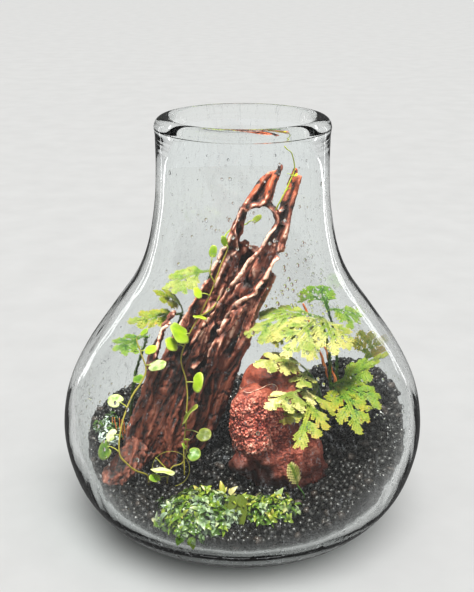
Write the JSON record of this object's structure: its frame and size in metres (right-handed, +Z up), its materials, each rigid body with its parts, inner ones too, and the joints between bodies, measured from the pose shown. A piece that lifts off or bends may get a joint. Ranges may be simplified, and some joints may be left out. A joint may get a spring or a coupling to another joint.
{
  "type": "glass plant terrarium",
  "caption": "Open blown-glass jar with a thick rolled lip, planted with driftwood, a red rock, dark gravel, spikemoss fronds, creeping vines and moss.",
  "frame": {"origin": "centre of the jar's foot, on the plane that it stands on", "axes": "+Z up along the jar's axis, -Y towards the pictured side, +X to its right"},
  "size_m": [0.23, 0.23, 0.26],
  "materials": {
    "glass": "clear blown glass, smooth, faintly wavy",
    "gravel": "dark rounded planting gravel, damp",
    "driftwood": "weathered red-brown driftwood with deep lengthwise grain",
    "rock": "rough porous red rock",
    "spikemoss": "living spikemoss fronds of small overlapping scale leaves",
    "fern": "small living fern leaf with a pale midrib",
    "vine": "fresh round leaves on thin green stems",
    "dry_stalk": "dry orange-brown stalks",
    "moss": "living moss cushion"
  },
  "bodies": {
    "root": {"glass_jar": "glass", "gravel_bed": "gravel", "driftwood": "driftwood", "red_rock": "rock", "spikemoss_over_rock": "spikemoss", "spikemoss_hub": "spikemoss", "spikemoss_right": "spikemoss", "spikemoss_sprig": "spikemoss", "spikemoss_back": "spikemoss", "spikemoss_left": "spikemoss", "spikemoss_back_left": "spikemoss", "spikemoss_far_left": "spikemoss", "fern_leaflet": "fern", "vine_over_wood": "vine", "vine_left": "vine", "runner_front": "vine", "tendril": "vine", "dry_stalk_1": "dry_stalk", "dry_stalk_2": "dry_stalk", "moss_cushion_left": "moss", "moss_cushion_right": "moss", "moss_far_left": "moss"}
  },
  "joints": []
}
